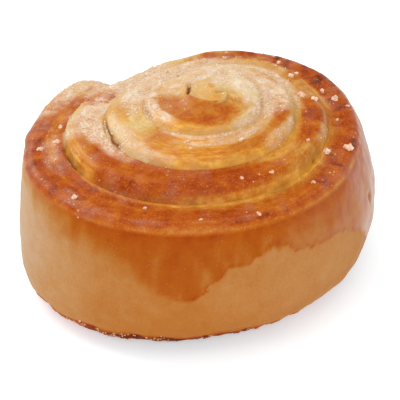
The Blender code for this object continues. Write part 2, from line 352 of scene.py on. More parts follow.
def strip_places(turn, share, along=6.0, across=1.0):
    """Places on the unrolled strip in millimetres, squeezed one way so that noise forms streaks."""
    flat = np.zeros(turn.shape)
    return np.stack([strip_length(turn) / along, share * ridge_width(turn) / across, flat], -1)


def towards(turn, middle_turn):
    """1 in the direction of the given turn, 0 opposite it, and a cosine wave between."""
    return 0.5 + 0.5 * np.cos(TURN * (turn - middle_turn))


def plan(radius, turn):
    """Place a point in plan: an oval and slightly three-sided outline that leans left outward."""
    angle = turn * TURN
    oval = OVAL_SHARE * np.cos(2.0 * (angle - OVAL_TURN * TURN))
    three_sided = THREE_SIDED_SHARE * np.cos(3.0 * (angle - THREE_SIDED_TURN * TURN))
    reach = radius * (1.0 + oval + three_sided)
    x = -reach * np.sin(angle) - LEAN_LEFT * radius / OUTLINE_RADIUS
    y = -reach * np.cos(angle)
    return x, y


def dome(radius, turn):
    """Height of the domed top, a little higher at the back and at the left."""
    x, y = plan(radius, turn)
    fall = (MIDDLE_HEIGHT - RIM_HEIGHT) * (radius / OUTLINE_RADIUS) ** DOME_POWER
    return MIDDLE_HEIGHT - fall + (BACK_RISE * y - LEFT_RISE * x) / OUTLINE_RADIUS


def end_height(turn):
    """Height added near the strip's end: the hump, then the sunken tip."""
    return HUMP_UP * hump(turn) - END_SINK * end_ramp(turn)


def edge_height(turn):
    """Height of a winding's outer edge: sunk in a crease, or raised as the rim on the last one."""
    waves = np.cos(TURN * (CREASE_WAVES_PER_TURN * turn - CREASE_WAVE_OFFSET))
    crease = CREASE_DEPTH + CREASE_UNEVEN * waves
    crease = crease * smooth_step((turn - FIRST_TURN) / CREASE_FULL_AFTER_TURNS)
    is_rim = smooth_step((turn - (LAST_TURN - 1.0) + RIM_START_TURNS / 2.0) / RIM_START_TURNS)
    dome_height = dome(outer_radius(turn), turn)
    return dome_height - crease * (1.0 - is_rim) + RIM_LIP_RISE * is_rim + end_height(turn)


def top_surface(turn, share):
    """A point on the top. share runs across a ridge from its inner crease (0) to its edge (1).

    The height joins the two edges over a crest: height = edge + (crest - edge) * (1 - a^p)^q,
    where a is the distance from the crest as a share of its own side.
    """
    inner = outer_radius(turn - 1.0)
    outer = outer_radius(turn)
    x, y = plan(inner + (outer - inner) * share, turn)
    crest = dome(inner + (outer - inner) * 0.5, turn) + end_height(turn)
    inside = share < CREST_PLACE
    away = np.where(inside, (CREST_PLACE - share) / CREST_PLACE, (share - CREST_PLACE) / (1.0 - CREST_PLACE))
    power = np.where(inside, INNER_ROUNDNESS, OUTER_ROUNDNESS)
    rise = np.clip(1.0 - away ** power, 0.0, 1.0) ** CREST_FULLNESS
    edge = np.where(inside, edge_height(turn - 1.0), edge_height(turn))
    return np.stack([x, y, edge + (crest - edge) * rise], -1)


def side_surface(rim, down):
    """A point on the side under a point of the rim, down from the rim (0) to the underside (1).

    The distance from the middle swells by a power of the sine of the way down, slides with the
    base, and rounds in near the foot. The height falls evenly to zero.
    """
    reach = np.hypot(rim[..., 0], rim[..., 1])
    out_x, out_y = rim[..., 0] / reach, rim[..., 1] / reach
    belly = SIDE_BULGE + SIDE_BULGE_RIGHT * out_x - SIDE_BULGE_FRONT * out_y
    shift = BASE_SHIFT_BACK * out_y - BASE_SHIFT_LEFT * out_x
    rounding = np.maximum(down - (1.0 - BASE_ROUND_HEIGHT_SHARE), 0.0) / BASE_ROUND_HEIGHT_SHARE
    swell = np.maximum(np.sin(np.pi * down), 0.0) ** SIDE_BULGE_FULLNESS
    radius = reach + belly * swell + shift * down
    radius = radius - BASE_ROUND_INSET * rounding ** BASE_ROUND_POWER
    return np.stack([radius * out_x, radius * out_y, rim[..., 2] * (1.0 - down)], -1)


def soft_noise(places, size, seed):
    """A smooth random field from -1 to 1: random values on a lattice of cells, joined smoothly."""
    scaled = places / size + seed * 17.31
    cell = np.floor(scaled).astype(np.int64)
    ramp = smooth_step(scaled - cell)
    values = np.random.default_rng(seed).uniform(-1.0, 1.0, 4096)
    large_primes = np.array([73856093, 19349663, 83492791])
    total = np.zeros(places.shape[:-1])
    for corner in itertools.product((0, 1), repeat=3):
        near = (cell + np.array(corner)) * large_primes
        key = near[..., 0] ^ near[..., 1] ^ near[..., 2]
        share = np.prod(np.where(np.array(corner) == 1, ramp, 1.0 - ramp), axis=-1)
        total += values[key % len(values)] * share
    return total


def layered_noise(places, size, seed, layers=3):
    """Sum of smooth fields, each half the size and half the height of the one before."""
    return sum(soft_noise(places, size * 0.5 ** k, seed + k) * 0.5 ** k for k in range(layers))


def patch_sum(turn, share, patches):
    """Sum of oval patches, each its amount inside and 0 outside, with a soft edge between."""
    total = np.zeros(turn.shape)
    for middle_turn, middle_share, half_turn, half_share, amount in patches:
        away = np.hypot((turn - middle_turn) / half_turn, (share - middle_share) / half_share)
        total += amount * smooth_step((1.4 - away) / 0.75)
    return total


def distance_to_line(x, y, line_x, line_y):
    """Shortest distance in plan from each point to a line of straight runs, and the place along it."""
    nearest = np.full(x.shape, np.inf)
    along = np.zeros(x.shape)
    runs = len(line_x) - 1
    for index in range(runs):
        step_x, step_y = line_x[index + 1] - line_x[index], line_y[index + 1] - line_y[index]
        part = ((x - line_x[index]) * step_x + (y - line_y[index]) * step_y) / (step_x ** 2 + step_y ** 2)
        part = np.clip(part, 0.0, 1.0)
        away = np.hypot(x - line_x[index] - part * step_x, y - line_y[index] - part * step_y)
        along = np.where(away < nearest, (index + part) / runs, along)
        nearest = np.minimum(nearest, away)
    return nearest, along


def weave_top():
    """The top as columns along the roll: points, their turn and share, triangles and the rim.

    Row 0 of a column is the outer edge of the winding before, or the middle in the first turn.
    The last column is one corner, where the strip's end lies against the winding before it.
    """
    first = math.ceil((CORE_RADIUS / STRIP_STEP) ** (1.0 / STEP_POWER) * COLUMNS_PER_TURN)
    last = round((LAST_TURN - FIRST_TURN) * COLUMNS_PER_TURN)
    turns = FIRST_TURN + np.arange(first, last + 1) / COLUMNS_PER_TURN
    shares = np.arange(1, ROWS_PER_RIDGE + 1) / ROWS_PER_RIDGE
    turn, share = [part.ravel() for part in np.meshgrid(turns, shares, indexing="ij")]
    points = np.vstack([top_surface(turn, share), [[0.0, 0.0, MIDDLE_HEIGHT]]])
    turn, share = np.append(turn, FIRST_TURN), np.append(share, 0.0)

    middle = len(turns) * ROWS_PER_RIDGE
    corners = np.arange(middle).reshape(len(turns), ROWS_PER_RIDGE)
    corners[-1] = corners[-1, -1]
    inner_row = np.append(np.full(COLUMNS_PER_TURN, middle), corners[:-COLUMNS_PER_TURN, -1])
    woven = np.column_stack([inner_row, corners])
    here, outward = woven[:-1, :-1], woven[:-1, 1:]
    ahead, ahead_outward = woven[1:, :-1], woven[1:, 1:]
    one_half = np.stack([here, ahead, ahead_outward], -1)
    other_half = np.stack([here, ahead_outward, outward], -1)

    start_cell = (COLUMNS_PER_TURN - 1) * ROWS_PER_RIDGE
    one_half = np.delete(one_half.reshape(-1, 3), start_cell, axis=0)
    chain = np.append(middle, corners[0])
    start_corner = np.full(ROWS_PER_RIDGE, ahead_outward[COLUMNS_PER_TURN - 1, 0])
    start_fan = np.stack([chain[:-1], chain[1:], start_corner], -1)
    triangles = np.vstack([one_half, other_half.reshape(-1, 3), start_fan])
    return points, turn, share, triangles, corners[-COLUMNS_PER_TURN - 1:, -1]


def weave_side(points, rim, next_index):
    """Rings of points under the rim and across the flat underside to its middle.

    Also how far down the side and how far in on the underside each point lies, and the triangles.
    """
    levels = np.arange(1, SIDE_LEVELS + 1) / SIDE_LEVELS
    downs = 1.0 - (1.0 - levels) ** LEVEL_CROWDING
    side = side_surface(points[rim][None], downs[:, None])
    foot = side[-1]
    middle = foot.mean(axis=0)
    inward = np.arange(1, UNDERSIDE_RINGS) / UNDERSIDE_RINGS
    under = foot[None] + (middle - foot)[None] * inward[:, None, None]
    rings = np.vstack([side, under])

    count = len(rim)
    indices = next_index + np.arange(len(rings) * count).reshape(len(rings), count)
    loops = np.vstack([rim[None], indices])
    here, ahead = loops[:-1], np.roll(loops[:-1], -1, axis=1)
    below, ahead_below = loops[1:], np.roll(loops[1:], -1, axis=1)
    last_loop = loops[-1]
    middle_index = np.full(count, next_index + len(rings) * count)
    triangles = np.vstack([
        np.stack([here, ahead, ahead_below], -1).reshape(-1, 3),
        np.stack([here, ahead_below, below], -1).reshape(-1, 3),
        np.stack([last_loop, np.roll(last_loop, -1), middle_index], -1),
    ])
    down = np.append(np.repeat(np.append(downs, np.ones(len(inward))), count), 1.0)
    under_share = np.append(np.repeat(np.append(np.zeros(len(downs)), inward), count), 1.0)
    return np.vstack([rings.reshape(-1, 3), middle]), down, under_share, triangles


def triangle_sides(points, triangles):
    """Each triangle's first corner, its two sides from there, and twice its area as a vector."""
    first, second, third = (points[triangles[:, corner]] for corner in range(3))
    return first, second - first, third - first, np.cross(second - first, third - first)


def point_normals(points, triangles):
    """Each point's direction outward: the sum of its triangles' area vectors, made unit length."""
    *_, areas = triangle_sides(points, triangles)
    total = np.zeros(points.shape)
    for corner, axis in itertools.product(range(3), range(3)):
        total[:, axis] += np.bincount(triangles[:, corner], areas[:, axis], len(points))
    return total / np.maximum(np.linalg.norm(total, axis=1, keepdims=True), 1e-9)


def crack_depths(points, is_top):
    """Depth of the cracks at each point: depth * exp(-(distance / half width)^2).

    Each is shallow at its ends, and noise makes its width uneven.
    """
    depth = np.zeros(len(points))
    wobble = 0.35 * soft_noise(points, 1.6, 71)
    for line, half_width, deepest in CRACKS:
        turn, share = np.array(line).T
        radius = outer_radius(turn - 1.0) + ridge_width(turn) * share
        line_x, line_y = plan(radius, turn)
        away, along = distance_to_line(points[:, 0], points[:, 1], line_x, line_y)
        taper = 0.35 + 0.65 * np.sin(np.pi * along)
        width = half_width * (0.8 + wobble)
        depth = np.maximum(depth, deepest * taper * np.exp(-(away / width) ** 2))
    return depth * is_top


def dimple_depths(turn, down):
    """Depth of the side's round dimples: each depth * exp(-(distance / half width)^2)."""
    depth = np.zeros(len(turn))
    for middle_turn, middle_down, half_width, deepest in DIMPLES:
        across = (turn - middle_turn) * TURN * OUTLINE_RADIUS
        away = np.hypot(across, (down - middle_down) * DIMPLED_SIDE_HEIGHT)
        depth += deepest * np.exp(-(away / half_width) ** 2)
    return depth * (down > 0.0)


def around_side(turn, table):
    """Look up a table of (turn, value) along the side."""
    return np.interp(turn, *np.array(table).T)


def wash_cover(turn, down, points):
    """How far inside the egg wash a point of the side lies, and where the wash's lower edge is.

    The cover is 1 above the edge and 0 below, times the amount of wash at that turn. Noise in two
    sizes makes the edge uneven.
    """
    softness = around_side(turn, WASH_SOFTNESS)
    edge = around_side(turn, WASH_EDGE)
    edge = edge + 0.026 * layered_noise(points, 6.0, 31) + 0.022 * layered_noise(points, 1.8, 34, 2)
    return smooth_step((edge - down) / softness + 0.5) * around_side(turn, WASH_AMOUNT), edge


def top_masks(points, turn, share, tone, streaks):
    """Browning, bared yellow dough and frosting of the top, each a slow change plus its patches. The
    frosting's slow rise towards the back left is partly painted highlight.

    The patches are looked up at a place that noise has moved a little, less on the ridges' walls.
    Brown crust gets ribs, most at the back. Frosting is thinner on it, and gathers in clumps.
    """
    radius = np.maximum(outer_radius(turn), 4.0)
    warp = [layered_noise(points, 5.0, seed, 4) for seed in (51, 55)]
    on_wall = smooth_step((np.abs(share - 0.5) - 0.28) / 0.18)
    moved = turn + warp[0] * 1.5 / (TURN * radius), share + warp[1] * 0.065 * (1.0 - 0.8 * on_wall)

    bake = TOP_BAKE + FRONT_RIM_BAKE * towards(turn, FRONT_TURN) * np.minimum(radius / OUTLINE_RADIUS, 1.0)
    bake += patch_sum(*moved, BROWNING_PATCHES) + 0.06 * tone + 0.07 * streaks
    browned = smooth_step((bake - 0.2) / 0.3)
    back = 1.0 - towards(turn, 0.0)
    ribs = layered_noise(strip_places(turn, share, 1.0, 3.0), 1.5, 69, 2)
    bake = np.minimum(bake, HIGHEST_PATCH_BAKE) + browned * (0.06 + 0.32 * back) * ribs

    # Frosting rising towards the back left: sugar, and painted highlight of the light from behind
    frost_and_sheen = towards(turn, BACK_LEFT_TURN) * (0.26 - 0.12 * radius / OUTLINE_RADIUS) - 0.04
    frost_and_sheen += patch_sum(*moved, FROST_PATCHES)
    frost_and_sheen *= 1.0 - 0.6 * smooth_step((bake - 0.45) / 0.4)
    frost_and_sheen *= 1.0 + 0.5 * layered_noise(points, 2.4, 66) + 0.6 * streaks
    bake += 0.12 * layered_noise(points, 1.8, 68, 2) * browned
    return bake, patch_sum(*moved, YELLOW_PATCHES), frost_and_sheen + 0.10 * tone


def lip_highlight_and_crease_shade(points, turn, share, down):
    """The pale line of painted highlight along the rim's top edge, and the dark lines of painted shade in
    the outer creases, broken up by noise.

    Each is exp(-(distance from the edge / line width)^2).
    """
    width = ridge_width(turn)
    last_winding = turn >= LAST_TURN - 1.0
    # Painted highlight: a pale line along the rim's top edge
    lip_highlight = np.exp(-(((1.0 - share) * width + down * RIM_HEIGHT) / LIP_HIGHLIGHT_WIDTH) ** 2) * last_winding
    # Painted shade: thin dark lines in the creases
    from_crease = np.where(last_winding, share, np.minimum(share, 1.0 - share)) * width
    crease = np.exp(-(from_crease / CREASE_SHADE_LINE_WIDTH) ** 2)
    crease *= smooth_step(0.35 + 0.9 * layered_noise(points, 4.0, 74)) * smooth_step((turn - 0.8) / 0.4)
    return lip_highlight, crease


def side_masks(points, turn, down, tone):
    """Browning of the side, its egg wash, the nearness of the rim above, and the foot's crust.

    The wash browns the side in streaks, most under the rim and in a thin line along its lower
    edge where that is sharp.
    """
    wash, wash_edge = wash_cover(turn, down, points)
    foot_edge = FOOT_CRUST_DOWN + FOOT_CRUST_UNEVEN * layered_noise(points, 9.0, 41)
    foot = smooth_step((down - foot_edge) / 0.05 + 0.5)
    under_rim = np.exp(-down / 0.09)
    at_edge = np.exp(-((down - wash_edge + 0.012) / 0.014) ** 2) * smooth_step(0.6 + 0.9 * tone)
    sharpness = smooth_step((0.08 - around_side(turn, WASH_SOFTNESS)) / 0.05)
    runs = layered_noise(points * np.array([1.0, 1.0, 0.4]), 2.6, 58)
    bake = around_side(turn, SIDE_BROWNING) + 0.03 * tone + (0.02 + 0.10 * wash) * runs
    bake += LOW_SIDE_BAKE * smooth_step((down - 0.45) / 0.4)
    bake += wash * (WASH_BAKE + UNDER_RIM_BAKE * under_rim) + WASH_EDGE_BAKE * at_edge * wash * sharpness
    return bake + foot * FOOT_BAKE, wash, under_rim, foot


def describe_skin(points, turn, share, down, under_share, cracks):
    """Masks for the crust's colours at every point, each a number from 0 to about 1.

    bake is the browning, less along the rim's top edge for a painted highlight, yellow the bared dough,
    frost the sugar's cover with painted highlight in its rise towards the back left, shine the egg wash's
    gloss, deep the painted shade in the cracks and creases, bare the side below the wash that painted
    shade darkens, and foot its dark crust.
    along and across are the place on the strip in metres, and top is 1 on the top.
    """
    tone = layered_noise(points, 4.0, 61)
    streaks = layered_noise(strip_places(turn, share), 1.2, 64)
    bake, yellow, frost_and_sheen = top_masks(points, turn, share, tone, streaks)
    lip_highlight, crease = lip_highlight_and_crease_shade(points, turn, share, down)
    # Paler along the rim's top edge: painted highlight
    bake -= LIP_HIGHLIGHT * lip_highlight
    gloss = around_side(turn, SIDE_GLOSS)
    shine = 0.16 * smooth_step((bake - 0.25) / 0.4) * (1.0 - np.clip(frost_and_sheen, 0.0, 1.0))
    shine += 0.8 * smooth_step((share - 0.7) / 0.25) * (turn > LAST_TURN - 1.0) * gloss

    side_bake, wash, under_rim, foot = side_masks(points, turn, down, tone)
    # The same painted highlight where the rim meets the side
    side_bake -= LIP_HIGHLIGHT * lip_highlight
    side_yellow = 0.20 * (1.0 - wash) * (1.0 - foot)
    # Where the side is darkened with painted shade: most where it is unwashed, less under the wash and least
    # just under the rim, none on the foot's crust
    bare = (1.0 - wash * (0.2 + 0.5 * under_rim)) * (1.0 - foot)

    side = smooth_step(down / 0.02)
    top = 1.0 - side
    under = smooth_step(under_share / 0.1)
    mottled = UNDERSIDE_BAKE + 0.18 * tone + 0.14 * layered_noise(points, 1.6, 77, 2)
    return {
        "bake": (bake * top + side_bake * side) * (1.0 - under) + mottled * under,
        "yellow": np.clip(yellow * top + side_yellow * side, 0.0, 1.0),
        "frost_and_sheen": np.clip(frost_and_sheen, 0.0, 1.0) * (1.0 - smooth_step(down / 0.01)),
        "shine": (shine * top + wash * gloss * side) * (1.0 - under),
        # Painted shade in the cracks and along the creases
        "crease_shade": np.clip(cracks / 1.2 + 0.55 * crease * top, 0.0, 1.0),
        "bare": side * bare * (1.0 - under),
        "foot": foot * side,
        "along": strip_length(turn) * MM * top,
        "across": share * ridge_width(turn) * top * MM,
        "top": top,
    }


def skin_relief(points, turn, share, down, under_share, masks):
    """Fine relief in millimetres along each point's normal.

    Slow swells, wrinkles stretched along the strip, torn layers where the dough is yellow, a
    leathery grain where it is brown, a bead along the rim, and crumbs at the foot.
    """
    strip_place = strip_places(turn, share)
    on_top = 1.0 - smooth_step(down / 0.01)
    swell = LARGE_SWELL_HEIGHT * soft_noise(points, 9.0, 81)
    swell += SMALL_SWELL_HEIGHT * soft_noise(points, 4.5, 82)
    wrinkles = WRINKLE_HEIGHT * layered_noise(strip_place, 1.5, 85, 2)
    torn = TORN_HEIGHT * layered_noise(strip_place, 1.1, 88, 2) * masks["yellow"]
    leather = LEATHER_HEIGHT * soft_noise(points, 1.1, 91) * smooth_step((masks["bake"] - 0.4) / 0.3)
    frosting = FROSTING_HEIGHT * soft_noise(points, 0.9, 93) * masks["frost_and_sheen"]
    crumbs = CRUMB_HEIGHT * layered_noise(points, 2.2, 95, 2) * masks["foot"]
    side_waves = SIDE_WAVE_HEIGHT * soft_noise(points * np.array([0.3, 0.3, 1.0]), 1.5, 97)
    relief = swell + on_top * (wrinkles + torn + frosting) + leather + (1.0 - on_top) * (crumbs + side_waves)
    rim = np.exp(-(down / 0.012) ** 2) * (share > 0.999) * (turn > LAST_TURN - 1.0)
    under = smooth_step(under_share / 0.08)
    return (relief + RIM_BEAD_HEIGHT * rim) * (1.0 - under) - dimple_depths(turn, down)


def crease_filling(turn, share, down):
    """How far the creases on the left are raised: most in the crease, fading with the distance."""
    from_crease = np.minimum(share, 1.0 - share) * STRIP_STEP / CREASE_FILLING_REACH
    in_crease = (share < 0.5) | (turn < LAST_TURN - 1.0)
    height = CREASE_FILLING_HEIGHT * towards(turn, LEFT_TURN) * np.exp(-from_crease ** 2)
    return height * in_crease * (down == 0.0)


def keep_used(points, triangles, *arrays):
    """Drop points that no triangle uses, and number the rest again."""
    used, numbered = np.unique(triangles, return_inverse=True)
    return points[used], numbered.reshape(-1, 3), [values[used] for values in arrays]


def make_skin():
    """The bun's whole surface in millimetres: its points, triangles and masks.

    Also how far down the side each point lies, and the middle that the points were moved by.
    """
    top, turn, share, top_triangles, rim = weave_top()
    lower, down, under_share, side_triangles = weave_side(top, rim, len(top))
    points = np.vstack([top, lower])
    rings = (len(lower) - 1) // len(rim)
    turn = np.concatenate([turn, np.tile(turn[rim], rings), [turn[rim[0]]]])
    share = np.concatenate([share, np.ones(len(lower))])
    down, under_share = (np.append(np.zeros(len(top)), part) for part in (down, under_share))
    triangles = np.vstack([top_triangles, side_triangles])
    different = [triangles[:, a] != triangles[:, b] for a, b in ((0, 1), (1, 2), (2, 0))]
    triangles = triangles[np.all(different, axis=0)]
    points, triangles, places = keep_used(points, triangles, turn, share, down, under_share)
    turn, share, down, under_share = places

    middle = (points.min(axis=0) + points.max(axis=0)) / 2.0 * np.array([1.0, 1.0, 0.0])
    cracks = crack_depths(points, down == 0.0)
    masks = describe_skin(points, turn, share, down, under_share, cracks)
    relief = skin_relief(points, turn, share, down, under_share, masks)
    points = points + point_normals(points, triangles) * relief[:, None]
    points[:, 2] = np.maximum(points[:, 2] + crease_filling(turn, share, down) - cracks, 0.0)
    points[down == 1.0, 2] = 0.0
    return points - middle, triangles, masks, down, middle


def put_in_scene(name, data):
    """A new object made of the given data, in the scene."""
    thing = bpy.data.objects.new(name, data)
    bpy.context.scene.collection.objects.link(thing)
    return thing


def make_piece(name, points, triangles, attributes, material):
    """A mesh object in metres with its attributes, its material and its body."""
    mesh = bpy.data.meshes.new(name)
    mesh.from_pydata((points * MM).tolist(), [], triangles.tolist())
    for label, values in attributes.items():
        attribute = mesh.attributes.new(label, "FLOAT", "POINT")
        attribute.data.foreach_set("value", values.astype(np.float32))
    mesh.materials.append(material)
    mesh.shade_smooth()
    piece = put_in_scene(name, mesh)
    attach(piece, "root")
    return piece


def random_turns(count, rng):
    """Random rotations as matrices, from unit quaternions."""
    parts = rng.normal(size=(4, count))
    w, x, y, z = parts / np.linalg.norm(parts, axis=0)
    rows = [
        [1 - 2 * (y * y + z * z), 2 * (x * y - w * z), 2 * (x * z + w * y)],
        [2 * (x * y + w * z), 1 - 2 * (x * x + z * z), 2 * (y * z - w * x)],
        [2 * (x * z - w * y), 2 * (y * z + w * x), 1 - 2 * (x * x + y * y)],
    ]
    return np.moveaxis(np.array(rows), -1, 0)


def scatter(points, triangles, density, count, rng):
    """Random places on the surface, as many for a triangle as its area times its density asks."""
    first, one_side, other_side, areas = triangle_sides(points, triangles)
    size = np.linalg.norm(areas, axis=1)
    weight = size * density[triangles].mean(axis=1)
    chosen = rng.choice(len(triangles), count, p=weight / weight.sum())
    across, along = rng.random((2, count))
    flip = across + along > 1.0
    across, along = (np.where(flip, 1.0 - part, part)[:, None] for part in (across, along))
    places = first[chosen] + across * one_side[chosen] + along * other_side[chosen]
    return places, areas[chosen] / size[chosen][:, None], chosen


def crystal_shapes(places, widths, rng):
    """A crystal at each place: a cube with its corners jogged, made uneven, and turned.

    corner = place + rotation * (width * stretch * (cube corner + jog)).
    """
    count = len(places)
    cube = np.array(list(itertools.product((-0.5, 0.5), repeat=3)))
    corners = cube + rng.uniform(-CORNER_JOG, CORNER_JOG, (count, 8, 3))
    corners = corners * widths[:, None, None] * rng.uniform(*CRYSTAL_STRETCH, (count, 1, 3))
    turned = np.einsum("nij,nkj->nki", random_turns(count, rng), corners)
    quads = np.array([[0, 1, 3, 2], [4, 6, 7, 5], [0, 4, 5, 1], [2, 3, 7, 6], [0, 2, 6, 4], [1, 5, 7, 3]])
    faces = np.vstack([quads[:, [0, 1, 2]], quads[:, [0, 2, 3]]])
    faces = (faces[None] + 8 * np.arange(count)[:, None, None]).reshape(-1, 3)
    return (turned + places[:, None]).reshape(-1, 3), faces


def make_sugar(name, crystals, faces, tint, material):
    """A piece of flat-faced crystals of eight corners, each crystal with its own tint."""
    piece = make_piece(name, crystals, faces, {"tint": np.repeat(tint, 8)}, material)
    piece.data.shade_flat()


def sugar_grains(points, triangles, masks, down, material):
    """Single grains of sugar, set half into the crust, most where it is frosted."""
    rng = np.random.default_rng(GRAIN_SEED)
    clumps = smooth_step(0.55 + 0.9 * layered_noise(points, 3.5, 101))
    on_top = (down == 0.0) * (1.0 - masks["crease_shade"])
    density = on_top * (0.002 + 1.3 * masks["frost_and_sheen"] ** 1.5 * (0.25 + clumps))
    density += 0.35 * masks["foot"] * (down < 0.97) * clumps
    places, normals, chosen = scatter(points, triangles, density, GRAIN_COUNT, rng)
    widths = rng.uniform(*GRAIN_WIDTH, GRAIN_COUNT)
    grains, faces = crystal_shapes(places + normals * (widths * 0.02)[:, None], widths, rng)
    grains[:, 2] = np.maximum(grains[:, 2], LOWEST_GRAIN_POINT)
    # Darker over browner crust: painted light of the crust showing through the grain
    nearest_bake = masks["bake"][triangles[chosen, 0]]
    tint = 0.20 + 0.9 * nearest_bake + rng.uniform(-0.15, 0.25, GRAIN_COUNT)
    make_sugar("sugar_grains", grains, faces, tint, material)


def lump_places(rng):
    """The large lumps' places and widths, then small ones spread over the ridges, as in the solid."""
    places = [(top_surface(np.array(turn), np.array(share)), width) for turn, share, width in LARGE_LUMPS]
    while len(places) < len(LARGE_LUMPS) + SMALL_LUMP_COUNT:
        turn = rng.uniform(FIRST_TURN + 2.0, LAST_TURN - 0.12)
        share = rng.uniform(0.15, 0.85)
        wanted = (1.0 - 0.9 * towards(turn, 0.0)) * outer_radius(turn) / OUTLINE_RADIUS
        point = top_surface(np.array(turn), np.array(share))
        clear = all(np.linalg.norm(point - other) > LUMP_GAP for other, _ in places)
        if rng.random() < wanted and clear:
            places.append((point, rng.uniform(*SMALL_LUMP_WIDTH)))
    return places


def sugar_lumps(middle, material):
    """The coarse lumps at the solid's places, each a cluster of crystals a little into the crust."""
    rng = np.random.default_rng(LUMP_SEED)
    centres, widths = zip(*lump_places(rng))
    centres = np.repeat(np.array(centres) - middle, CRYSTALS_PER_LUMP, axis=0)
    widths = np.repeat(widths, CRYSTALS_PER_LUMP)
    aside = rng.normal(size=(len(widths), 3)) * np.array(CRYSTAL_SPREAD)
    centres = centres + np.clip(aside, -CRYSTAL_SPREAD_LIMIT, CRYSTAL_SPREAD_LIMIT) * widths[:, None]
    crystal_widths = widths * rng.uniform(*CRYSTAL_SHARE_OF_LUMP, len(widths))
    crystals, faces = crystal_shapes(centres, crystal_widths, rng)
    tint = rng.uniform(0.1, 0.8, len(widths)) + 0.25 * (widths < 1.4)
    make_sugar("sugar_lumps", crystals, faces, tint, material)


def colour(tone):
    """A colour of the screen, 0 to 255, as the linear values that shaders use."""
    return tuple((part / 255.0) ** 2.2 for part in tone) + (1.0,)


class Wiring:
    """Adds nodes to a node tree and links them. A helper without words of its own returns the new
    node's main output.
    """

    def __init__(self, tree):
        self.tree = tree

    def feed(self, node, inputs):
        """Link each of the node's inputs to the output given for it, or set it to the value given."""
        for key, value in dict(inputs).items():
            if isinstance(value, bpy.types.NodeSocket):
                self.tree.links.new(value, node.inputs[key])
            else:
                node.inputs[key].default_value = value

    def node(self, kind, inputs=(), **settings):
        """The new node itself, given its settings and then its inputs."""
        node = self.tree.nodes.new(kind)
        for name, value in settings.items():
            setattr(node, name, value)
        self.feed(node, inputs)
        return node

    def group(self, group, **inputs):
        """All the outputs of a new node that holds the group."""
        return self.node("ShaderNodeGroup", inputs, node_tree=group).outputs

    def math(self, operation, first, second=0.0, third=0.0, clamp=False):
        inputs = {0: first, 1: second, 2: third}
        return self.node("ShaderNodeMath", inputs, operation=operation, use_clamp=clamp).outputs[0]

    def mix(self, factor, first, second, blend="MIX"):
        inputs = {0: factor, 6: first, 7: second}
        return self.node("ShaderNodeMix", inputs, data_type="RGBA", blend_type=blend).outputs[2]

    def between(self, value, low, high, out_low=0.0, out_high=1.0):
        """The value moved smoothly from one range to another, and held within that."""
        inputs = {"Value": value, "From Min": low, "From Max": high, "To Min": out_low, "To Max": out_high}
        return self.node("ShaderNodeMapRange", inputs, interpolation_type="SMOOTHSTEP").outputs[0]

    def attribute(self, name):
        return self.node("ShaderNodeAttribute", attribute_name=name).outputs["Fac"]

    def noise(self, vector, scale, detail=2.0, roughness=0.5):
        inputs = {"Vector": vector, "Scale": scale, "Detail": detail, "Roughness": roughness}
        return self.node("ShaderNodeTexNoise", inputs).outputs[0]

    def bump(self, height, distance, strength):
        inputs = {"Height": height, "Distance": distance, "Strength": strength}
        return self.node("ShaderNodeBump", inputs).outputs[0]

    def ramp(self, value, stops):
        """The colours of the given stops, blended by the value."""
        node = self.node("ShaderNodeValToRGB", {0: value})
        elements = node.color_ramp.elements
        while len(elements) < len(stops):
            elements.new(1.0)
        for element, (position, tone) in zip(elements, stops):
            element.position, element.color = position, colour(tone)
        return node.outputs[0]


def new_group(name, inputs, outputs):
    """An empty shader group with named inputs and outputs, its wiring, what it is given, its end."""
    tree = bpy.data.node_groups.new(name, "ShaderNodeTree")
    for label, kind in inputs.items():
        tree.interface.new_socket(label, in_out="INPUT", socket_type="NodeSocket" + kind)
    for label in outputs:
        tree.interface.new_socket(label, in_out="OUTPUT", socket_type="NodeSocketFloat")
    wiring = Wiring(tree)
    return tree, wiring, wiring.node("NodeGroupInput").outputs, wiring.node("NodeGroupOutput")


def uneven_tone_group():
    """Patchy variation, mostly from -1 to 1, with patches of the given width in metres."""
    inputs = {"Place": "Vector", "Width": "Float"}
    tree, wiring, given, end = new_group("uneven tone", inputs, ["Tone"])
    noise = wiring.noise(given["Place"], wiring.math("DIVIDE", 1.0, given["Width"]), 3.0, 0.6)
    wiring.feed(end, {"Tone": wiring.math("MULTIPLY_ADD", noise, 4.0, -2.0)})
    return tree


def sugar_dust_group():
    """Tiny grains: cells of the given width, each filled or bare by chance as the cover asks."""
    inputs = {"Place": "Vector", "Width": "Float", "Cover": "Float"}
    tree, wiring, given, end = new_group("sugar dust", inputs, ["Mask", "Height"])
    scale = wiring.math("DIVIDE", 1.0, given["Width"])
    cells = wiring.node("ShaderNodeTexVoronoi", {"Vector": given["Place"], "Scale": scale}).outputs
    chance = wiring.node("ShaderNodeSeparateColor", {0: cells["Color"]}).outputs[0]
    filled = wiring.between(wiring.math("SUBTRACT", given["Cover"], chance), -0.05, 0.05)
    mask = wiring.math("MULTIPLY", filled, wiring.between(cells["Distance"], 0.55, 0.25))
    height = wiring.math("MULTIPLY", mask, wiring.math("SUBTRACT", 1.0, cells["Distance"]))
    wiring.feed(end, {"Mask": mask, "Height": height})
    return tree


def new_material(name):
    """A new material, its surface node and its wiring."""
    material = bpy.data.materials.new(name)
    material.use_nodes = True
    return material, material.node_tree.nodes["Principled BSDF"], Wiring(material.node_tree)


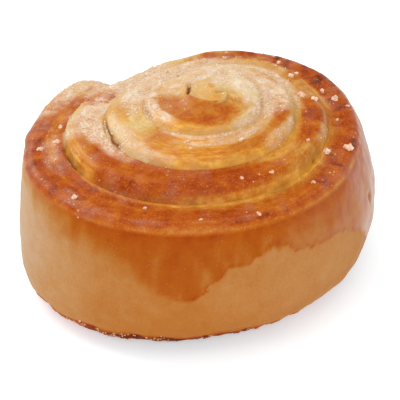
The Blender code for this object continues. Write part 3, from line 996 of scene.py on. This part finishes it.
def baked_colour(wiring, places, mask, broad, fine, streaks):
    """The crust's colour without sugar: browning and speckles, golden dough, and the bare side darkened with
    painted shade.
    """
    top = mask["top"]
    browning = wiring.math("MULTIPLY_ADD", broad, wiring.between(top, 0.0, 1.0, 0.03, 0.08), mask["bake"])
    browning = wiring.math("MULTIPLY_ADD", fine, wiring.between(top, 0.0, 1.0, 0.05, 0.10), browning)
    browning = wiring.math("MULTIPLY_ADD", wiring.math("MULTIPLY", streaks, top), 0.09, browning)
    crust = wiring.ramp(wiring.math("MULTIPLY", browning, 1.0 / BROWNING_AT_RAMP_END), CRUST_TONES)
    speckles = wiring.between(wiring.noise(places, 1900.0, 1.0), 0.56, 0.72, 0.0, 0.22)
    speckles = wiring.math("MULTIPLY", speckles, wiring.between(browning, 0.3, 0.5))
    crust = wiring.mix(wiring.math("MULTIPLY", speckles, top), crust, colour(SPECKLE_TONE))
    golden = wiring.mix(wiring.between(streaks, -1.0, 1.0), *map(colour, GOLDEN_TONES))
    golden_cover = wiring.math("MULTIPLY", mask["yellow"], wiring.between(streaks, -1.2, 0.8, 0.35, 0.95))
    crust = wiring.mix(golden_cover, crust, golden)
    # Painted shade: the bare side's colour multiplied darker
    return wiring.mix(mask["bare"], crust, BARE_SIDE_SHADE, "MULTIPLY")


def frosted_colour(wiring, crust, mask, dust, broad, fine):
    """The crust's colour under sugar frosting and dust, and darkened with painted shade in its cracks and
    creases.
    """
    patchy = wiring.math("MULTIPLY", mask["frost_and_sheen"], wiring.between(broad, -1.0, 0.4, 0.60, 1.05))
    speckled = wiring.math("MULTIPLY", patchy, wiring.between(fine, -1.0, 1.0, 0.40, 1.0))
    cover = wiring.math("MULTIPLY_ADD", dust["Mask"], 0.22, speckled, clamp=True)
    frosting = wiring.mix(wiring.between(broad, -1.0, 1.0), *map(colour, FROSTING_TONES))
    crust = wiring.mix(cover, crust, frosting)
    # Painted shade in the cracks and creases, darkest in the cracks
    shade, darkest = map(colour, CREVICE_SHADE_TONES)
    crust = wiring.mix(wiring.math("MULTIPLY", mask["crease_shade"], 0.85), crust, shade)
    return wiring.mix(wiring.between(mask["crease_shade"], 0.6, 1.0, 0.0, 0.65), crust, darkest)


def crust_material(uneven_tone, sugar_dust):
    """Egg-washed and baked crust: glossy where it is washed, dull where it is frosted."""
    material, shader, wiring = new_material("baked crust")
    places = wiring.node("ShaderNodeTexCoord").outputs["Object"]
    mask = {name: wiring.attribute(name) for name in SHADED_MASKS}
    along = wiring.math("MULTIPLY", mask["along"], 0.2)
    strip_place = wiring.node("ShaderNodeCombineXYZ", {0: along, 1: mask["across"]}).outputs[0]
    broad = wiring.group(uneven_tone, Place=places, Width=0.0028)["Tone"]
    fine = wiring.group(uneven_tone, Place=places, Width=0.0006)["Tone"]
    streaks = wiring.group(uneven_tone, Place=strip_place, Width=0.0006)["Tone"]
    dust = wiring.group(sugar_dust, Place=places, Width=0.00045, Cover=mask["frost_and_sheen"])

    crust = baked_colour(wiring, places, mask, broad, fine, streaks)
    roughness = wiring.math("MULTIPLY_ADD", mask["shine"], -0.22, 0.62)
    roughness = wiring.math("MULTIPLY_ADD", mask["frost_and_sheen"], 0.15, roughness)
    grain = wiring.noise(places, 1400.0, 2.0, 0.6)
    pores = wiring.noise(places, 520.0, 3.0, 0.55)
    height = wiring.math("MULTIPLY_ADD", pores, 0.8, wiring.math("MULTIPLY", grain, 0.35))
    height = wiring.math("MULTIPLY_ADD", dust["Height"], 0.9, height)
    wiring.feed(shader, {
        "Base Color": frosted_colour(wiring, crust, mask, dust, broad, fine),
        "Roughness": roughness,
        "Specular IOR Level": 0.04,
        "Coat Weight": mask["shine"],
        "Coat Roughness": 0.28,
        "Coat IOR": 1.5,
        "Subsurface Weight": 0.25,
        "Subsurface Radius": (1.0, 0.55, 0.25),
        "Subsurface Scale": 0.0018,
        "Normal": wiring.bump(height, 0.00022, 0.8),
    })
    return material


def sugar_material(name, uneven_tone, tones):
    """Sugar crystals, from a little caramelised to clear white, with a frosted grain. On the single grains
    the darker end also stands for the crust's colour showing through them, a painted light.
    """
    material, shader, wiring = new_material(name)
    places = wiring.node("ShaderNodeTexCoord").outputs["Object"]
    tone = wiring.group(uneven_tone, Place=places, Width=0.0009)["Tone"]
    tint = wiring.math("MULTIPLY_ADD", tone, 0.15, wiring.attribute("tint"))
    dark, light = map(colour, tones)
    wiring.feed(shader, {
        "Base Color": wiring.mix(wiring.between(tint, 0.0, 1.0), light, dark),
        "Roughness": 0.35,
        "Subsurface Weight": 0.3,
        "Subsurface Radius": (1.0, 0.85, 0.7),
        "Subsurface Scale": 0.0006,
        "Normal": wiring.bump(wiring.noise(places, 3500.0, 2.0, 0.6), 0.0001, 0.6),
    })
    return material


def make_floor():
    """A plain pale floor, one large square that glows a little."""
    half = FLOOR_HALF_WIDTH
    corners = [(-half, -half, 0), (half, -half, 0), (half, half, 0), (-half, half, 0)]
    mesh = bpy.data.meshes.new("floor")
    mesh.from_pydata(corners, [], [(0, 1, 2, 3)])
    material, shader, wiring = new_material("pale floor")
    wiring.feed(shader, {
        "Base Color": (0.82, 0.90, 0.93, 1.0),
        "Emission Color": (0.94, 0.97, 1.0, 1.0),
        "Emission Strength": 0.40,
        "Roughness": 0.9,
        "Specular IOR Level": 0.1,
    })
    mesh.materials.append(material)
    floor = put_in_scene("floor", mesh)


def add_soft_light(name, place, width, power, tone):
    """A square soft light aimed at the bun."""
    light = bpy.data.lights.new(name, "AREA")
    light.shape = "SQUARE"
    light.size = width
    light.energy = power
    light.color = tone
    lamp = put_in_scene(name, light)
    lamp.location = place
    lamp.rotation_euler = (Vector(LIGHT_TARGET) - Vector(place)).to_track_quat("-Z", "Y").to_euler()


def light_the_scene():
    """A white studio: an even surround, large lights at the back left and overhead, a fill in front."""
    scene = bpy.context.scene
    scene.view_settings.view_transform = "Standard"
    world = bpy.data.worlds.new("white studio")
    world.use_nodes = True
    surround = world.node_tree.nodes["Background"]
    surround.inputs["Color"].default_value = (1.0, 1.0, 1.0, 1.0)
    surround.inputs["Strength"].default_value = SURROUND_STRENGTH
    scene.world = world
    for light in SOFT_LIGHTS:
        add_soft_light(*light)


def set_camera():
    """A long lens in front and above, aimed at the bun's middle."""
    data = bpy.data.cameras.new("camera")
    data.lens = CAMERA_LENS
    data.sensor_width = SENSOR_WIDTH
    data.clip_start, data.clip_end = 0.01, 20.0
    camera = put_in_scene("camera", data)
    rise = math.radians(CAMERA_RISE_DEGREES)
    back = Vector((0.0, -math.cos(rise), math.sin(rise)))
    camera.location = Vector(CAMERA_TARGET) + back * CAMERA_DISTANCE
    camera.rotation_euler = (-back).to_track_quat("-Z", "Y").to_euler()
    bpy.context.scene.camera = camera


def main():
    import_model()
    set_camera()
    light_the_scene()
    make_floor()
    uneven_tone, sugar_dust = uneven_tone_group(), sugar_dust_group()
    points, triangles, masks, down, middle = make_skin()
    shaded = {name: masks[name] for name in SHADED_MASKS}
    bun = make_piece("bun_crust", points, triangles, shaded, crust_material(uneven_tone, sugar_dust))
    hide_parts("bun")
    sugar_grains(points, triangles, masks, down, sugar_material("sugar grains", uneven_tone, GRAIN_TONES_LIT_BY_CRUST))
    sugar_lumps(middle, sugar_material("coarse sugar", uneven_tone, LUMP_TONES))


main()
